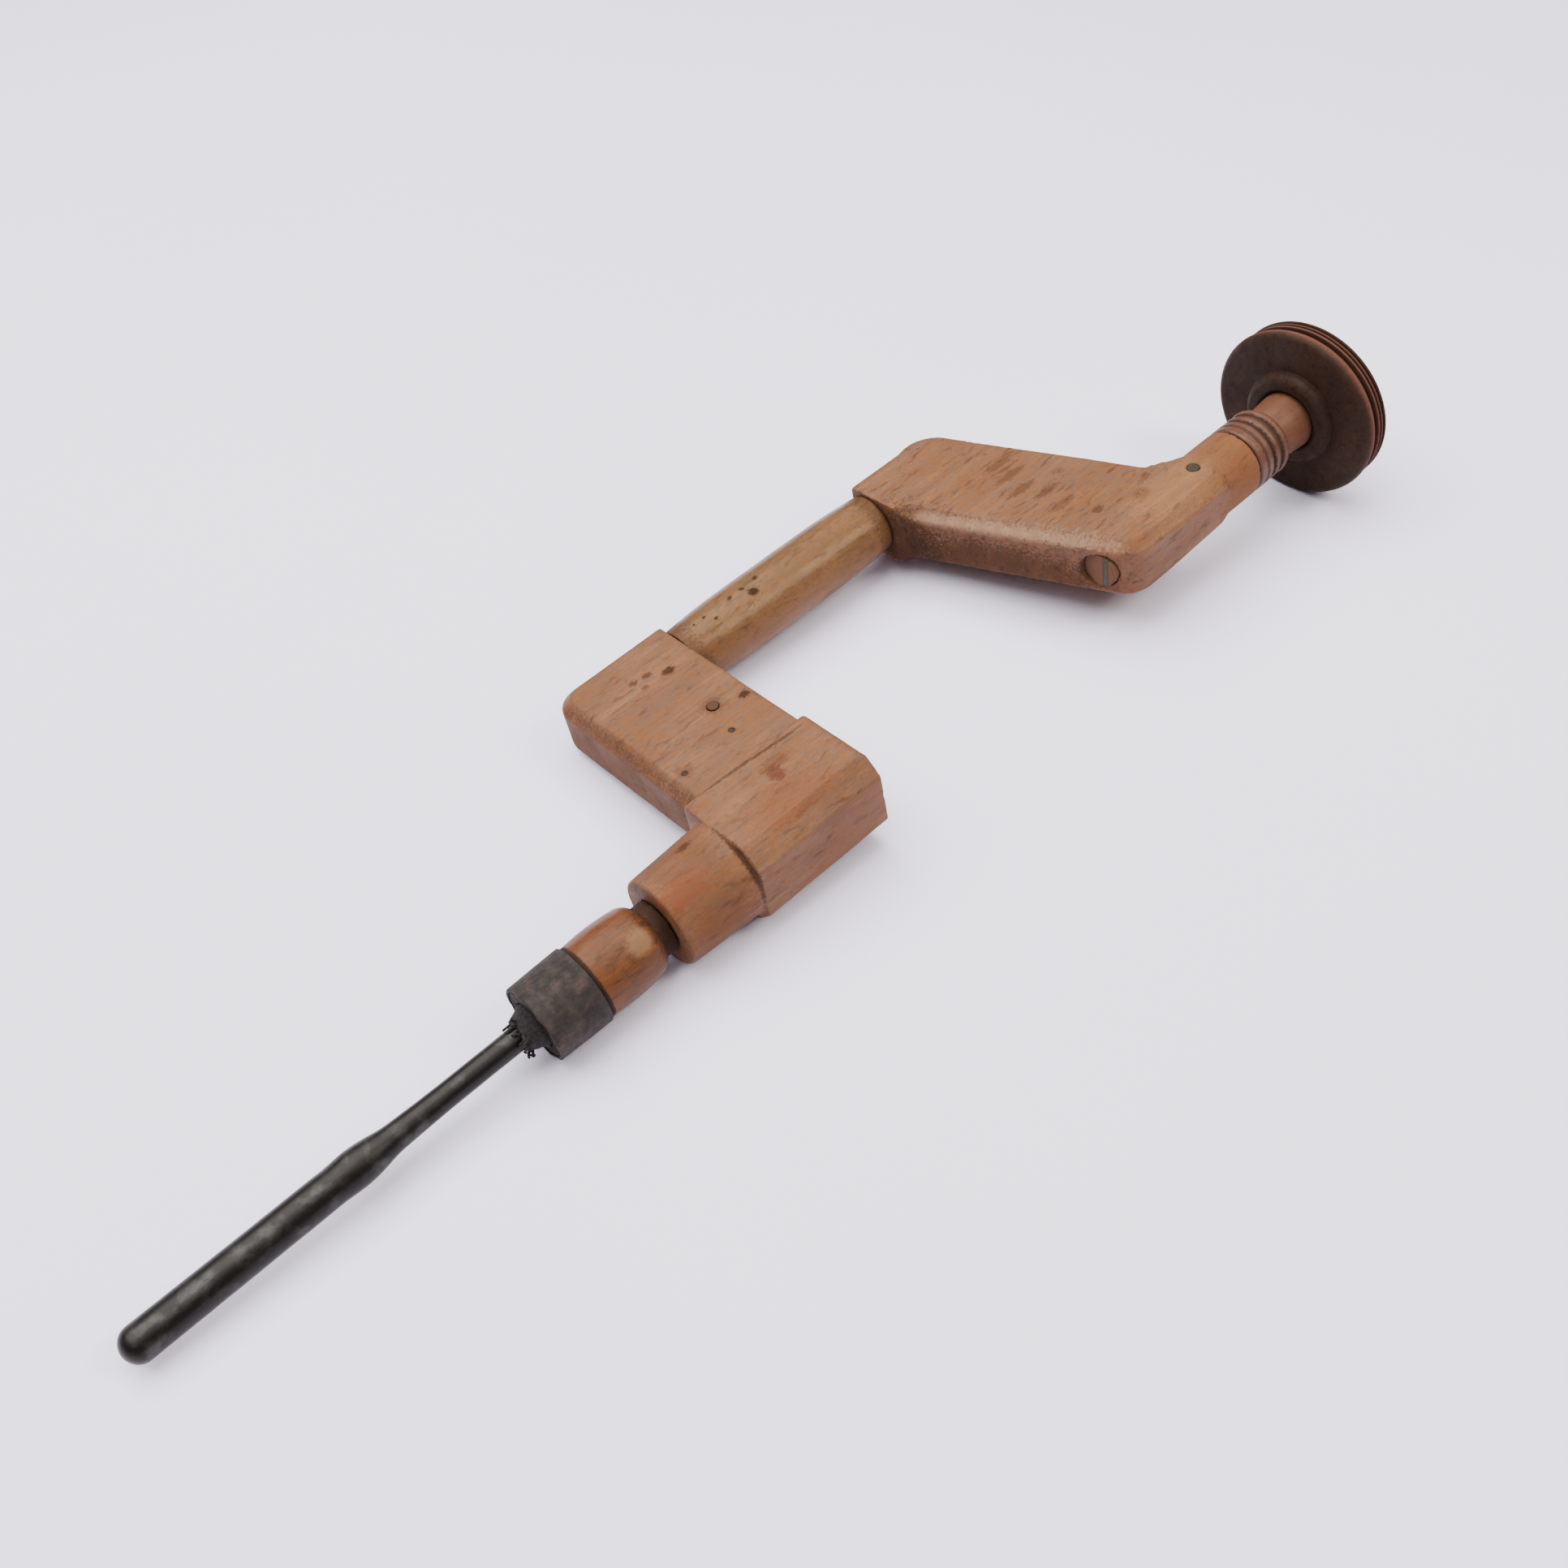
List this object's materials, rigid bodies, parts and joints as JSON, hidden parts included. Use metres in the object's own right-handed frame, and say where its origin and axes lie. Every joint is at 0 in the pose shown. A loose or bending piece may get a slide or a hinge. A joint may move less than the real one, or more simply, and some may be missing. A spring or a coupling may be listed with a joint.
{
  "type": "wooden bit brace",
  "caption": "Old wooden bit brace: square foot with a boss, flat arm, turned grip, slanting arm with a round head that spins, and a removable pad holding a steel spoon bit.",
  "frame": {"origin": "middle of the mouth of the square socket in the foot, on the axis of rotation", "axes": "+X along the axis of rotation from the bit to the head, +Y from that axis to the grip, +Z out of the plane of the crank"},
  "size_m": [0.5885, 0.149, 0.076],
  "materials": {
    "foot_wood": "worn, oiled",
    "arm_wood": "worn, oiled",
    "tongue_wood": "raw",
    "nail_iron": "rusty",
    "peg_wood": "worn",
    "grip_wood": "polished by use",
    "pin_wood": "dark end grain",
    "spindle_wood": "turned, oiled",
    "wedge_wood": "raw",
    "head_wood": "dark, oiled",
    "pad_wood": "turned, oiled",
    "ferrule_iron": "worn, patches of rust",
    "bit_steel": "dark patina",
    "packing_leather": "old, ragged"
  },
  "bodies": {
    "frame": {"foot_block": "foot_wood", "joint_tongue": "tongue_wood", "lower_arm": "arm_wood", "joint_nails": "nail_iron", "tongue_peg": "peg_wood", "grip": "grip_wood", "upper_arm": "arm_wood", "neck_pin": "pin_wood"},
    "head": {"head_spindle": "spindle_wood", "spindle_wedge": "wedge_wood", "head_disc": "head_wood"},
    "pad": {"pad": "pad_wood", "ferrule": "ferrule_iron", "bit": "bit_steel", "tang_packing": "packing_leather"}
  },
  "joints": [
    {"name": "head_spin", "type": "hinge", "parent": "frame", "child": "head", "pos_m": [0.31, 0, 0], "axis": [1, 0, 0], "continuous": true},
    {"name": "pad_pull", "type": "slide", "parent": "frame", "child": "pad", "axis": [-1, 0, 0], "range_m": [0, 0.05]}
  ]
}
